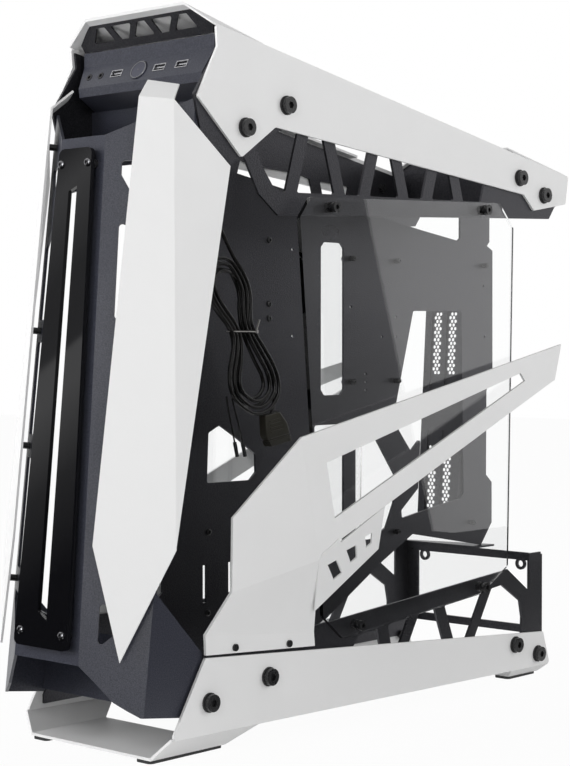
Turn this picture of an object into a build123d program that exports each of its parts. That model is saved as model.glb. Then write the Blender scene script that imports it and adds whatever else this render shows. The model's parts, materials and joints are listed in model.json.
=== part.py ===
from build123d import *
import os
from math import radians, sqrt, tan

os.makedirs("parts", exist_ok=True)

# Open air computer frame. Millimetres, +Z up, the front of the frame faces -Y.
# The origin is on the floor under the middle of the frame. Side outlines are (y, z) pairs
# and hold for both sides, because every side part has a mirrored twin.

# Widths and sheet thicknesses
half_width = 95.0
beam_sheet = 2.5
truss_sheet = 2.5
column_sheet = 2.5
truss_face = half_width - beam_sheet
column_face = truss_face - truss_sheet
column_inside = column_face - column_sheet

# Upper side beam outline
beam_top_front = (-213.3, 629.9)
beam_brow = (-211.6, 611.3)
beam_nose = (-236.1, 566.2)
beam_chin = (-181.7, 518.0)
beam_throat = (-137.6, 548.2)
beam_heel = (248.9, 512.1)
beam_drop = (267.2, 496.5)
beam_tail_low = (327.1, 506.4)
beam_tail_top = (332.1, 536.7)
beam_corner_r = 3.0
beam_flange = 12.0
beam_flange_ends = (-138.0, 190.0)

# Front hood and rear bridge: folded lids between the beams
lid_flat_half = 62.7
lid_sheet = 2.0
hood_front = (-222.0, 651.5)
hood_rear_y = -147.0
bridge_front = (264.5, 565.0)
bridge_panel_y = 270.0
bridge_panel_low = 505.0
panel_sheet = 2.5

# Hood grille, leaning with the front edge of the hood
grille_top = (-214.6, 647.0)
grille_foot = (-204.5, 624.5)
grille_widths = (61.0, 85.0, 83.0)
grille_shoulder_z = 631.4
grille_window_z = (631.0, 643.4)
grille_window_x = [(-5.0, 5.0, -13.5, 13.5), (12.7, 40.0, 20.7, 31.0), (47.5, 58.0, 38.5, 67.0)]
grille_window_r = 1.5
grille_sheet = 2.0

# Upper truss plate
truss_front_top = (-238.0, 568.0)
truss_prong = [(-230.3, 539.4), (-192.7, 510.8), (-183.0, 517.6), (-178.5, 522.0)]
truss_knee = [(-174.1, 516.5), (-156.9, 488.1), (-131.8, 470.4)]
truss_chord_tail = [(298.9, 489.4), (309.2, 502.2), (325.0, 511.0)]
truss_tail_top_y = 328.0
truss_top_drop = 5.0
truss_brow_inset = 3.0
truss_chord_top = ((-122.5, 491.8), (191.4, 500.8))
truss_bar = 15.5
truss_bar_slope = 0.31
truss_bar_feet = (-122.5, -54.7, -18.7, 40.7, 77.8, 129.2, 175.5)
truss_window_cover = 8.0
truss_first_window = [(-127.0, 491.7), (-139.5, 497.0), (-151.3, 511.2), (-163.0, 534.0)]
truss_window_r = 2.0

# Base frame: side plates and two shallow foot channels folded from one sheet
base_top_front = (-227.3, 86.1)
base_top_rear = (286.7, 48.7)
base_rear_low = (299.0, 13.0)
base_crease_front = (-267.5, 20.8)
foot_half_width = 77.5
foot_sheet = 2.5
foot_pad_height = 3.0
foot_pad_width = 19.0
foot_pad_inset = 0.8
front_foot_span = (-276.0, -186.0)
front_foot_crease_end = -160.0
rear_foot_span = (248.0, 300.0)
rear_foot_crease = (228.0, 296.0)

# Lower truss plate
chord_front = (-84.0, 97.0)
chord_rear = (223.8, 121.0)
chord_low = ((-17.8, 80.9), (213.1, 105.3))
lower_truss_front = [(-222.0, 102.0), (-236.0, 60.0), (-250.0, 34.0)]
lower_truss_floor_z = 26.0
lower_bars = [(-34.4, 0.9), (9.1, -0.25), (57.4, 0.6), (99.1, -0.42), (179.5, 0.63)]
lower_bar = 16.0
lower_window_cover = 6.0
brace_out = (262.4, 95.0)
brace_in = [(214.9, 104.6), (246.4, 85.6), (250.5, 67.8)]
post_top_z = 134.0
post_width = 21.5
post_rear_y = 285.5

# Front column: front face, two flanks and two side returns folded from one sheet
column_top = (28.0, -280.5, 534.5)
column_bottom = (41.5, -324.6, 86.0)
flank_outer_low = (-295.5, 44.0)
flank_outer_top_z = 568.0
return_low = (-252.0, 38.0)
return_rear = (-222.8, 86.2)
return_top_z = 149.0
flank_low = [(41.5, 86.0), (55.7, 70.4), (68.0, 56.3), (78.1, 49.7), (87.9, 44.0), (90.0, 44.0)]
flank_margin = 12.6
flank_windows = [[(0, 512.0), (74.0, 512.0), (57.0, 471.0), (0, 500.0)],
                 [(0, 459.0), (80.0, 441.7), (80.0, 377.0), (0, 377.0)],
                 [(0, 357.0), (80.0, 357.0), (80.0, 275.0), (0, 275.0)],
                 [(0, 255.0), (80.0, 255.0), (80.0, 157.0), (0, 157.0)],
                 [(0, 137.0), (80.0, 137.0), (80.0, 127.8), (0, 101.0)]]
flank_window_r = 3.0
cross_low = (-254.5, 41.0)
cross_top = (-241.5, 97.0)
top_cross_y = -190.0
top_cross_low_z = 520.0

# Glossy front plate
front_plate_sheet = 4.0
front_plate_gap = 4.0
front_plate_halves = (20.9, 34.7)
front_plate_inset = 11.0
front_plate_corner = 6.0
front_slot_halves = (5.2, 6.0)
front_slot_ends = (44.0, 416.0)
column_slot_wider = 9.5
front_screw_x = (17.0, 26.5)
front_screw_v = (24.5, 427.0)
front_slot_skew = (4.3, 7.0)
front_spacer_r = 4.5
front_head_r = 3.6
front_head_height = 1.6

# Blades
blade_gap = 8.0
blade_sheet = 2.0
blade_corners = [(57.0, 566.0), (51.7, 187.0), (77.4, 91.0), (110.0, 184.0), (82.0, 563.0)]
blade_ear = (118.0, -219.9, 506.1)
blade_tab = [(73.0, -236.0, 578.0), (49.0, -250.6, 583.3)]
blade_standoffs_at = [(66.0, 532.0), (66.0, 367.0), (66.0, 265.0), (76.0, 147.0)]
standoff_r = 3.0
standoff_pin_depth = 1.2

# Motherboard tray
tray_sheet = 2.5
tray_half = tray_sheet / 2
board_pitch_y = (72.39, 154.94)
board_pitch_z = (124.46, 157.48)
board_last_offset = 22.86
board_origin = (74.5, 442.0)
board_standoff_height = 6.5
board_standoff_r = 3.2
board_thread_r = 1.6
board_rows = (board_origin[1], board_origin[1] - board_pitch_z[0])
board_columns = (board_origin[0], board_origin[0] + board_pitch_y[0], board_origin[0] + sum(board_pitch_y))
board_last_row = board_rows[1] - board_pitch_z[1]
board_points = [(y, z) for z in board_rows for y in board_columns]
board_points += [(board_columns[0], board_last_row), (board_columns[1], board_last_row),
                 (board_columns[2] - board_last_offset, board_last_row)]
tray_toe_z = (60.0, 90.0)
tray_outline = [(-187.5, 532.4), (-94.7, 517.6), (-1.1, 502.7), (123.2, 486.7), (190.4, 476.5),
                (256.7, 467.7), (261.2, 471.0), (261.2, bridge_panel_low), (315.0, bridge_panel_low),
                (315.0, 469.0), (310.4, 464.4), (320.9, 459.3), (321.4, 329.0), (310.1, 303.6),
                (309.7, 210.7), (320.4, 202.0), (320.6, 157.2), (300.6, 133.5), (178.0, 155.0),
                (128.0, 131.0), (0.0, tray_toe_z[0])]
tray_front_low = (-187.5, 130.0)
tray_windows = [[(29.6, 310.0), (29.6, 452.0), (34.5, 457.0), (60.0, 457.0), (65.0, 452.0),
                 (65.0, 310.0), (60.0, 304.5), (34.5, 304.5)],
                [(-113.0, 279.7), (-127.8, 272.8), (-129.9, 226.3), (-71.4, 225.8), (-63.0, 233.0),
                 (-63.6, 250.3), (-89.4, 266.6)],
                [(178.3, 390.5), (149.2, 292.3), (154.1, 265.7), (174.7, 242.8), (191.0, 255.9),
                 (187.3, 202.9), (158.7, 181.5), (159.6, 173.0), (261.7, 187.6), (268.0, 193.0),
                 (263.4, 391.7)],
                [(20.0, 170.0), (20.0, 275.0), (65.0, 275.0), (65.0, 155.0), (35.0, 155.0)],
                [(83.6, 155.0), (83.6, 275.0), (111.0, 275.0), (118.7, 255.6), (147.5, 219.3),
                 (146.0, 190.0), (133.0, 165.0), (110.0, 155.0)]]
tray_window_r = 2.0
tray_slots = [((-133.0, 115.0), (-133.0, 150.0), 5.0), ((-98.8, 118.0), (-98.8, 150.0), 5.0)]
tray_holes = [(-9.9, 448.0), (-9.9, 363.5), (76.3, 393.2), (149.2, 383.9), (126.2, 363.4),
              (149.3, 363.2), (100.0, 325.0), (100.0, 316.8), (100.0, 308.6), (305.7, 363.9),
              (303.8, 419.9)]
tray_hole_r = 1.8
tray_screws_at = [(-44.5, 455.7), (-44.5, 394.2), (-44.5, 380.2), (-128.0, 180.6), (-129.5, 105.1)]

# Swords: flange, leaning lower facet, body, long arm and a leaning facet with windows
sword_sheet = 2.5
sword_flange = [(-226.5, 88.4), (-84.5, 79.2), (-86.0, 92.0), (-227.5, 105.5)]
sword_hem = 1.0
# Sword corners are given by their distance outside the beams' outer faces, then y and z
sword_corner = (21.0, -102.9, 161.3)
sword_front_low = (11.9, -206.8, 141.8)
sword_front_high = (11.9, -205.5, 205.9)
sword_peak = (18.9, -124.4, 272.5)
sword_arm_lean = (1.0, -0.00133, 0.01813)
sword_arm = [(20.7, -71.7, 177.8), (19.4, 152.4, 267.7), (18.7, 279.6, 318.2),
             (18.0, 292.5, 355.4), (18.9, -110.0, 275.3)]
sword_cut = [(20.4, -80.3, 197.3), (18.6, 224.6, 317.5), (18.4, 216.8, 325.8),
             (19.4, -90.7, 248.3)]
window_sheet = 1.5
window_low = (9.5, -95.4, 113.4)
window_tip = (20.0, -7.5, 203.1)
window_edge = [(10.7, -5.6, 162.3), (20.6, -72.1, 174.6), (21.4, -76.0, 178.0),
               (21.6, -99.0, 166.5)]
window_openings = [
    [(18.0, -87.6, 155.2), (17.3, -74.2, 158.5), (12.9, -61.5, 145.0), (13.0, -73.3, 139.9)],
    [(17.5, -60.6, 166.2), (16.7, -45.6, 169.8), (13.5, -40.7, 157.7), (13.5, -49.6, 153.4)],
    [(16.8, -33.1, 176.4), (16.3, -21.7, 179.5), (13.8, -19.7, 169.4), (13.8, -27.3, 165.6)]]
sword_screws_at = [(-190.7, 91.0), (-120.2, 85.8)]

# Glass
glass_sheet = 4.0
glass_gap = 5.5
glass_outline = [(-98.2, 488.3), (-112.8, 469.5), (-80.7, 106.0), (-52.6, 82.7), (165.7, 102.1),
                 (211.3, 126.1), (219.5, 475.6), (195.4, 499.7)]
glass_corner_r = 3.0
glass_spacer_r = 5.0
glass_socket_r = 2.4
glass_bolts_at = [(-66.3, 481.0), (171.1, 491.5), (-28.4, 92.5), (169.2, 108.5)]
glass_face = truss_face + glass_gap + glass_sheet

# Bolts and screws
bolt_r = 3.0
bolt_clearance = 0.2
washer_r = 8.6
washer_height = 1.6
head_r = 7.6
head_height = 4.4
socket_r = 3.4
socket_depth = 2.6
nut_height = 3.0
nut_r = 5.5
nut_clearance = 0.05
beam_bolts_at = [(-177.0, 544.4), (-123.6, 568.8), (240.3, 529.0), (284.8, 513.5)]
base_bolts_at = [(-222.6, 47.5), (-147.5, 59.7), (234.4, 41.0), (276.0, 26.5)]
small_screw_r = 1.5
small_head_r = 3.2
small_head_height = 1.8

# Front connections box
io_top = (-204.5, 624.0)
io_panel_top = (-204.5, 611.0)
io_panel_low = (-215.5, 590.3)
io_lip_low = (-215.5, 582.0)
io_under_rear = (-186.0, 570.0)
io_halves = (86.5, 79.7)
io_side_y = -190.0
io_rear_y = -178.0
io_sheet = 2.0
port_clearance = 0.3
button_x = -4.9
button_r = 9.5
button_proud = 1.0
button_clearance = 0.3
button_flange_r = 11.0
button_flange_height = 1.5
button_stem_r = 2.5
stem_gap = 1.5
switch_wall = 2.0
switch_height = 5.0
usb_x = (-34.0, 21.6, 49.5)
usb_size = (14.6, 7.2)
usb_wall = 0.7
usb_proud = 0.4
usb_tongue = 1.8
usb_tongue_up = 1.2
jack_x = (-71.0, -55.5)
jack_r = 3.4
jack_bore_r = 1.75
io_board_depth = 12.0
io_board_size = (150.0, 15.0)
io_board_sheet = 1.6
board_post_x = 63.25
board_post_r = 2.5

# Rear: supply frame, shelf and slot bracket
supply_frame_face = post_rear_y
supply_sheet = 2.5
supply_top_z = 131.5
supply_low_z = 45.0
supply_bar = 8.5
supply_post = 15.0
supply_ear_at = (66.0, 119.0)
supply_ear_r = 6.5
supply_hole_r = 3.5
thumb_screw_inset = 7.0
thumb_screw_z = 124.5
thumb_screw_r = 5.0
thumb_screw_height = 5.0
shelf_span = (283.0, 316.0)
shelf_corner_x = 8.0
shelf_low_corner_y = 290.0
shelf_height = 2.0
bracket_top = (285.0, 404.0)
bracket_low = (268.0, 150.0)
bracket_sheet = 1.6
bracket_reach = 62.0
slot_pitch = 20.32
slot_first_x = -25.5
cover_width = 18.0
cover_lap = 2.0
cover_sheet = 1.0
lower_cover_z = (154.0, 262.0)
upper_cover_z = (286.0, 400.0)
bracket_flange = 10.0
vent_cell = 4.7
vent_web = 0.9
upper_vent_z = (322.0, 392.0)
lower_vent_z = (162.0, 247.0)

# Front panel leads: a bundle down to a tied hank, with a plug and two pin plugs below it
leads_x = 44.0
bundle_d = 6.0
bundle_start_x = 35.0
bundle_exit = 24.0
bundle_route = [(37.0, -172.0, 548.0), (40.0, -172.0, 505.0), (43.0, -163.0, 472.0),
                (44.0, -150.0, 448.0), (44.0, -141.0, 428.0)]
hank_outline = [(-114.2, 368.5), (-118.3, 379.4), (-116.9, 396.0), (-120.9, 411.4), (-130.2, 424.9),
                (-146.0, 434.3), (-162.9, 435.5), (-175.7, 428.8), (-182.0, 417.0), (-178.3, 403.8),
                (-165.5, 386.1), (-142.2, 365.6), (-144.8, 350.1), (-150.0, 332.1), (-148.8, 313.9),
                (-140.9, 302.9), (-126.3, 293.4), (-110.2, 288.3), (-92.5, 292.5), (-81.5, 303.4),
                (-77.3, 314.5), (-82.9, 333.2), (-100.7, 354.7)]
hank_thickness = 14.0
hank_round = 4.0
tie_z = 367.0
tie_height = 2.6
tie_span = (-144.5, -113.0)
tie_wall = 1.2
plug_outline = [(-101.4, 291.5), (-84.0, 299.5), (-66.1, 282.3), (-60.5, 265.2), (-92.5, 259.9),
                (-99.4, 270.4)]
plug_thickness = 9.0
tail_d = 1.6
tail_spread = 4.0
tail_routes = [[(-146.0, 308.0), (-144.0, 296.0), (-139.6, 281.9), (-135.4, 266.0)],
               [(-143.0, 306.0), (-138.5, 294.0), (-133.5, 280.5), (-129.4, 266.0)]]
pin_size = (2.6, 2.6, 14.0)


def finish(builder, name):
    """Label a finished piece and write its file."""
    builder.part.label = name
    export_step(builder.part, f"parts/{name}.step")
    print(f"{name}: {len(builder.part.solids())} solid(s)")


def line_z(start, end, y):
    """Height at y of the straight line through two (y, z) points."""
    return start[1] + (end[1] - start[1]) * (y - start[0]) / (end[0] - start[0])


def beam_top(y):
    return line_z(beam_top_front, beam_tail_top, y)


def beam_under(y):
    return line_z(beam_throat, beam_heel, y)


def side_profile(outline, face_x, thickness, mode=Mode.ADD):
    """Sheet parallel to the sides, with its outer face at face_x."""
    with BuildSketch(Plane.YZ.offset(face_x - thickness)) as profile:
        with BuildLine():
            Polyline(*outline, close=True)
        make_face()
    extrude(profile.sketch, amount=thickness, mode=mode)


def side_rods(places, start_x, length, radius, mode=Mode.ADD):
    """Round bars or holes along X."""
    with BuildSketch(Plane.YZ.offset(start_x)) as rods:
        with Locations(*places):
            Circle(radius)
    extrude(rods.sketch, amount=length, mode=mode)


def face_plane(points):
    """Plane of a facet whose corners run anticlockwise seen from outside."""
    first, second, third = [Vector(*point) for point in points[:3]]
    return Plane(origin=first, x_dir=second - first, z_dir=(second - first).cross(third - second))


def facet(points, thickness, plane=None, above=0.0, mode=Mode.ADD):
    """Flat sheet with its outer face on the plane through the points."""
    plane = plane or face_plane(points)
    corners = [plane.to_local_coords(Vector(*point)) for point in points]
    with BuildSketch(plane.offset(above)) as outline:
        with BuildLine():
            Polyline(*[(corner.X, corner.Y) for corner in corners], close=True)
        make_face()
    extrude(outline.sketch, amount=-thickness, mode=mode)


def off_side(*points):
    """Points given by their distance outside the beams' outer faces."""
    return [(half_width + out, y, z) for out, y, z in points]


def twin(source, name):
    """The same piece on the other side of the frame."""
    with BuildPart() as other:
        mirror(source.part, about=Plane.YZ)
    finish(other, name)
    return other


def both_sides(builder):
    """Add the mirrored copy of everything made so far in this piece."""
    mirror(builder.part, about=Plane.YZ)


# Upper side beams, with a stiffening flange folded in along the top
with BuildPart() as beam_right:
    side_profile([beam_top_front, beam_brow, beam_nose, beam_chin, beam_throat, beam_heel,
                  beam_drop, beam_tail_low, beam_tail_top], half_width, beam_sheet)
    fillet(beam_right.edges().filter_by(Axis.X), beam_corner_r)
    flange_top = [(y, beam_top(y)) for y in beam_flange_ends]
    flange_low = [(y, beam_top(y) - beam_sheet) for y in reversed(beam_flange_ends)]
    side_profile(flange_top + flange_low, half_width, beam_flange)
    side_rods(beam_bolts_at, truss_face, beam_sheet, bolt_r + bolt_clearance, Mode.SUBTRACT)
finish(beam_right, "beam_right")
beam_left = twin(beam_right, "beam_left")


def lid_planes(front, seat_y, rear_y):
    """Top planes of a folded lid: the sloping flat and the chamfer along each side."""
    flat_rear = Vector(0, rear_y, beam_top(rear_y))
    flat_front = Vector(0, *front)
    planes = [Plane(origin=flat_front, z_dir=Vector(1, 0, 0).cross(flat_rear - flat_front))]
    for side in (1, -1):
        edge = Vector(side * lid_flat_half, *front)
        seat = Vector(side * half_width, seat_y, beam_top(seat_y))
        tail = Vector(side * half_width, rear_y, beam_top(rear_y))
        outward = (seat - edge).cross(tail - edge)
        planes.append(Plane(origin=edge, z_dir=outward if outward.Z > 0 else -outward))
    return planes


def trim_under(planes, drop):
    """Cut away what stands above the planes moved down by drop."""
    for plane in planes:
        split(bisect_by=Plane(origin=plane.origin - Vector(0, 0, drop), z_dir=plane.z_dir),
              keep=Keep.BOTTOM)


def lid_block(front, seat_y, rear_y):
    """Solid under a folded lid, down to a little below its seat on the beams."""
    base_drop = 2 * lid_sheet
    rear = (rear_y, beam_top(rear_y))
    low_front = (seat_y, beam_top(seat_y) - base_drop)
    with BuildPart() as block:
        with BuildSketch(Plane.YZ):
            with BuildLine():
                Polyline(front, rear, (rear_y, rear[1] - base_drop), low_front, close=True)
            make_face()
        extrude(amount=truss_face, both=True)
        trim_under(lid_planes(front, seat_y, rear_y), 0.0)
    return block.part


# Front hood and rear bridge: each a sloping flat with chamfers down to the beams
hood_planes = lid_planes(hood_front, beam_top_front[0], hood_rear_y)
hood_block = lid_block(hood_front, beam_top_front[0], hood_rear_y)
hood_hollow = Pos(0, 0, -lid_sheet) * hood_block
with BuildPart() as front_hood:
    add(hood_block)
    add(hood_hollow, mode=Mode.SUBTRACT)
finish(front_hood, "front_hood")

bridge_planes = lid_planes(bridge_front, bridge_front[0], beam_tail_top[0])
bridge_block = lid_block(bridge_front, bridge_front[0], beam_tail_top[0])
bridge_hollow = Pos(0, 0, -lid_sheet) * bridge_block
with BuildPart() as rear_bridge:
    add(bridge_block)
    add(bridge_hollow, mode=Mode.SUBTRACT)
finish(rear_bridge, "rear_bridge")

# Rear panel hanging under the bridge, between the trusses
with BuildPart() as rear_panel:
    with BuildSketch(Plane.XZ.offset(-bridge_panel_y)):
        with Locations((0, bridge_panel_low)):
            Rectangle(2 * column_face, bridge_front[1] - bridge_panel_low,
                      align=(Align.CENTER, Align.MIN))
    extrude(amount=-panel_sheet)
    trim_under(bridge_planes, lid_sheet)
finish(rear_panel, "rear_panel")

# Grille closing the front of the hood, with five windows that widen downwards
grille_slope = Vector(0, grille_foot[0] - grille_top[0], grille_foot[1] - grille_top[1])
grille_normal = grille_slope.cross(Vector(1, 0, 0)).normalized()
grille_plane = Plane(origin=(0, *grille_foot), x_dir=(1, 0, 0), z_dir=grille_normal)


def grille_height(z):
    """Distance up the grille plane of a point at height z."""
    return (z - grille_foot[1]) / grille_plane.y_dir.Z


with BuildPart() as hood_grille:
    with BuildSketch(grille_plane) as grille_outline:
        top = grille_height(grille_top[1] + 2 * grille_sheet)
        shoulder = grille_height(grille_shoulder_z)
        with BuildLine():
            Polyline((-grille_widths[2], 0), (-grille_widths[1], shoulder), (-grille_widths[0], top),
                     (grille_widths[0], top), (grille_widths[1], shoulder), (grille_widths[2], 0),
                     close=True)
        make_face()
    extrude(grille_outline.sketch, amount=-grille_sheet)
    with BuildSketch(grille_plane) as grille_windows:
        low, high = [grille_height(z) for z in grille_window_z]
        for high_left, high_right, low_left, low_right in grille_window_x:
            for side in (1, -1):
                with BuildLine():
                    Polyline((side * low_left, low), (side * low_right, low),
                             (side * high_right, high), (side * high_left, high), close=True)
                make_face()
        fillet(grille_windows.vertices(), grille_window_r)
    extrude(grille_windows.sketch, amount=-2 * grille_sheet, both=True, mode=Mode.SUBTRACT)
    trim_under(hood_planes, lid_sheet)
    split(bisect_by=Plane.XY.offset(grille_foot[1]), keep=Keep.TOP)
finish(hood_grille, "hood_grille")

# Front connections box: a slanting panel with a strip above and a lip below, open at the back
io_slope = Vector(0, io_panel_low[0] - io_panel_top[0], io_panel_low[1] - io_panel_top[1])
io_normal = io_slope.cross(Vector(1, 0, 0)).normalized()
io_middle = (Vector(0, *io_panel_top) + Vector(0, *io_panel_low)) / 2
io_plane = Plane(origin=io_middle, x_dir=(1, 0, 0), z_dir=io_normal)
io_under = Plane(origin=(0, *io_lip_low),
                 z_dir=Vector(1, 0, 0).cross(Vector(0, io_under_rear[0] - io_lip_low[0],
                                                    io_under_rear[1] - io_lip_low[1])))
io_under_rear_z = line_z(io_lip_low, io_under_rear, io_rear_y)

with BuildPart() as io_shell:
    with BuildSketch(Plane.YZ):
        with BuildLine():
            Polyline(io_top, io_panel_top, io_panel_low, io_lip_low, (io_rear_y, io_under_rear_z),
                     (io_rear_y, io_top[1]), close=True)
        make_face()
    extrude(amount=column_face, both=True)
    for side in (1, -1):
        strip_edge = Vector(side * io_halves[0], *io_panel_top)
        panel_edge = Vector(side * io_halves[1], *io_panel_low)
        strip_rear = Vector(side * column_face, io_side_y, io_panel_top[1])
        panel_rear = Vector(side * column_face, io_side_y, io_panel_low[1])
        for first, second, third in [
                (strip_edge, strip_rear, strip_rear + Vector(0, 0, 1)),
                (strip_edge, panel_edge, (strip_rear + panel_rear) / 2),
                (panel_edge, panel_rear, panel_rear + Vector(0, 0, 1))]:
            across = (second - first).cross(third - first)
            across = across if across.X * side > 0 else -across
            split(bisect_by=Plane(origin=first, z_dir=across), keep=Keep.BOTTOM)

with BuildPart() as io_box:
    add(io_shell.part)
    offset(amount=-io_sheet, openings=io_box.faces().sort_by(Axis.Y)[-1])
    with BuildSketch(io_plane) as port_holes:
        with Locations((button_x, 0)):
            Circle(button_r + port_clearance)
        with Locations(*[(x, 0) for x in jack_x]):
            Circle(jack_r + port_clearance)
        with Locations(*[(x, 0) for x in usb_x]):
            Rectangle(usb_size[0] + 2 * port_clearance, usb_size[1] + 2 * port_clearance)
    extrude(port_holes.sketch, amount=-2 * io_sheet, both=True, mode=Mode.SUBTRACT)
    with BuildSketch(io_plane.offset(-io_sheet)) as board_posts:
        with Locations((-board_post_x, 0), (board_post_x, 0)):
            Circle(board_post_r)
    extrude(board_posts.sketch, amount=-(io_board_depth - io_sheet))
finish(io_box, "io_box")

with BuildPart() as io_board:
    with BuildSketch(io_plane.offset(-io_board_depth)):
        RectangleRounded(*io_board_size, 1.5)
    extrude(amount=-io_board_sheet)
finish(io_board, "io_board")

with BuildPart() as usb_ports:
    with BuildSketch(io_plane.offset(-io_board_depth)) as usb_shells:
        with Locations(*[(x, 0) for x in usb_x]):
            Rectangle(*usb_size)
            Rectangle(usb_size[0] - 2 * usb_wall, usb_size[1] - 2 * usb_wall, mode=Mode.SUBTRACT)
    extrude(usb_shells.sketch, amount=io_board_depth + usb_proud)
    with BuildSketch(io_plane.offset(-io_board_depth)) as usb_backs:
        with Locations(*[(x, 0) for x in usb_x]):
            Rectangle(*usb_size)
    extrude(usb_backs.sketch, amount=usb_wall)
    with BuildSketch(io_plane.offset(-io_board_depth)) as usb_tongues:
        with Locations(*[(x, usb_tongue_up) for x in usb_x]):
            Rectangle(usb_size[0] - 2 * usb_wall - 2.0, usb_tongue)
    extrude(usb_tongues.sketch, amount=io_board_depth - 1.5)
finish(usb_ports, "usb_ports")

with BuildPart() as audio_jacks:
    with BuildSketch(io_plane.offset(-io_board_depth)) as jack_bodies:
        with Locations(*[(x, 0) for x in jack_x]):
            Circle(jack_r)
    extrude(jack_bodies.sketch, amount=io_board_depth + usb_proud)
    with BuildSketch(io_plane.offset(usb_proud)) as jack_bores:
        with Locations(*[(x, 0) for x in jack_x]):
            Circle(jack_bore_r)
    extrude(jack_bores.sketch, amount=-(io_board_depth - 1.0), mode=Mode.SUBTRACT)
finish(audio_jacks, "audio_jacks")

# Power button: a cap kept by a flange behind the panel, its stem sliding in the switch
with BuildPart() as power_button:
    with BuildSketch(io_plane.offset(button_proud)) as button_cap:
        with Locations((button_x, 0)):
            Circle(button_r)
    extrude(button_cap.sketch, amount=-(button_proud + io_sheet + button_clearance))
    with BuildSketch(io_plane.offset(-io_sheet - button_clearance)) as button_flange:
        with Locations((button_x, 0)):
            Circle(button_flange_r)
    extrude(button_flange.sketch, amount=-button_flange_height)
    with BuildSketch(io_plane.offset(-io_sheet - button_clearance)) as button_stem:
        with Locations((button_x, 0)):
            Circle(button_stem_r)
    extrude(button_stem.sketch, amount=-(io_board_depth - io_sheet - button_clearance - stem_gap))
    fillet(power_button.faces().filter_by(io_plane).sort_by(Axis.Z)[-1].edges(), 0.6)
finish(power_button, "power_button")

with BuildPart() as power_switch:
    with BuildSketch(io_plane.offset(-io_board_depth)) as switch_body:
        with Locations((button_x, 0)):
            Circle(button_stem_r + switch_wall)
            Circle(button_stem_r + button_clearance, mode=Mode.SUBTRACT)
    extrude(switch_body.sketch, amount=switch_height)
finish(power_switch, "power_switch")

# Cross plate under the connections box, between the upper trusses
with BuildPart() as top_cross_plate:
    with BuildSketch(Plane.XZ.offset(-top_cross_y)):
        with Locations((0, top_cross_low_z)):
            Rectangle(2 * column_face, io_top[1] - top_cross_low_z, align=(Align.CENTER, Align.MIN))
    extrude(amount=-panel_sheet)
    split(bisect_by=io_under, keep=Keep.BOTTOM)
finish(top_cross_plate, "top_cross_plate")

# Upper truss plates: slanting bars between the beam and a lower chord
with BuildPart() as upper_truss_right:
    brow = (beam_brow[0] + truss_brow_inset, beam_brow[1])
    crown = (beam_top_front[0] + truss_brow_inset, beam_top(beam_top_front[0]) - truss_top_drop)
    side_profile([truss_front_top] + truss_prong + truss_knee + truss_chord_tail
                 + [(truss_tail_top_y, beam_top(truss_tail_top_y) - truss_top_drop), crown, brow],
                 truss_face, truss_sheet)
    with BuildSketch(Plane.YZ.offset(column_face)) as truss_windows:
        slopes = [truss_bar_slope * (1 if n % 2 == 0 else -1) for n in range(len(truss_bar_feet))]
        for n in range(len(truss_bar_feet) - 1):
            left = truss_bar_feet[n] + truss_bar
            right = truss_bar_feet[n + 1]
            low_left, low_right = [(y, line_z(*truss_chord_top, y)) for y in (left, right)]
            rise_left, rise_right = [beam_under(y) + truss_window_cover - line_z(*truss_chord_top, y)
                                     for y in (left, right)]
            with BuildLine():
                Polyline(low_left, low_right,
                         (right + slopes[n + 1] * rise_right, low_right[1] + rise_right),
                         (left + slopes[n] * rise_left, low_left[1] + rise_left), close=True)
            make_face()
        first = (truss_bar_feet[0], line_z(*truss_chord_top, truss_bar_feet[0]))
        rise = beam_under(first[0]) + truss_window_cover - first[1]
        with BuildLine():
            Polyline(*truss_first_window, (first[0] + slopes[0] * rise, first[1] + rise), first,
                     close=True)
        make_face()
        fillet(truss_windows.vertices(), truss_window_r)
    extrude(truss_windows.sketch, amount=truss_sheet, mode=Mode.SUBTRACT)
    side_rods(beam_bolts_at + glass_bolts_at[:2], column_face, truss_sheet,
              bolt_r + bolt_clearance, Mode.SUBTRACT)
finish(upper_truss_right, "upper_truss_right")
upper_truss_left = twin(upper_truss_right, "upper_truss_left")


def base_top(y):
    return line_z(base_top_front, base_top_rear, y)


def base_low(y):
    return line_z(base_crease_front, base_rear_low, y)


# Lower truss plates: a chord on slanting bars, a brace and a post for the supply frame
with BuildPart() as lower_truss_right:
    side_profile([chord_front, chord_rear, brace_out, (post_rear_y - post_width, brace_out[1] + 2),
                  (post_rear_y - post_width, post_top_z), (post_rear_y, post_top_z),
                  (post_rear_y, lower_truss_floor_z), (lower_truss_front[2][0], lower_truss_floor_z)]
                 + lower_truss_front[::-1], truss_face, truss_sheet)
    with BuildSketch(Plane.YZ.offset(column_face)) as lower_windows:
        edges = []
        for foot, slope in lower_bars:
            for left in (foot, foot + lower_bar):
                head = (left, line_z(*chord_low, left))
                drop = head[1] - base_top(left) + lower_window_cover
                edges.append((head, (left - slope * drop, head[1] - drop)))
        for n in range(1, len(edges) - 1, 2):
            with BuildLine():
                Polyline(edges[n][0], edges[n + 1][0], edges[n + 1][1], edges[n][1], close=True)
            make_face()
        brace_low = (brace_in[2][0] - 1, base_top(brace_in[2][0]) - lower_window_cover)
        with BuildLine():
            Polyline(edges[-1][0], chord_low[1], *brace_in, brace_low, edges[-1][1], close=True)
        make_face()
        fillet(lower_windows.vertices(), truss_window_r)
    extrude(lower_windows.sketch, amount=truss_sheet, mode=Mode.SUBTRACT)
    side_rods(base_bolts_at + glass_bolts_at[2:], column_face, truss_sheet,
              bolt_r + bolt_clearance, Mode.SUBTRACT)
    side_rods(sword_screws_at, column_face, truss_sheet, small_screw_r + bolt_clearance, Mode.SUBTRACT)
finish(lower_truss_right, "lower_truss_right")
lower_truss_left = twin(lower_truss_right, "lower_truss_left")

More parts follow.
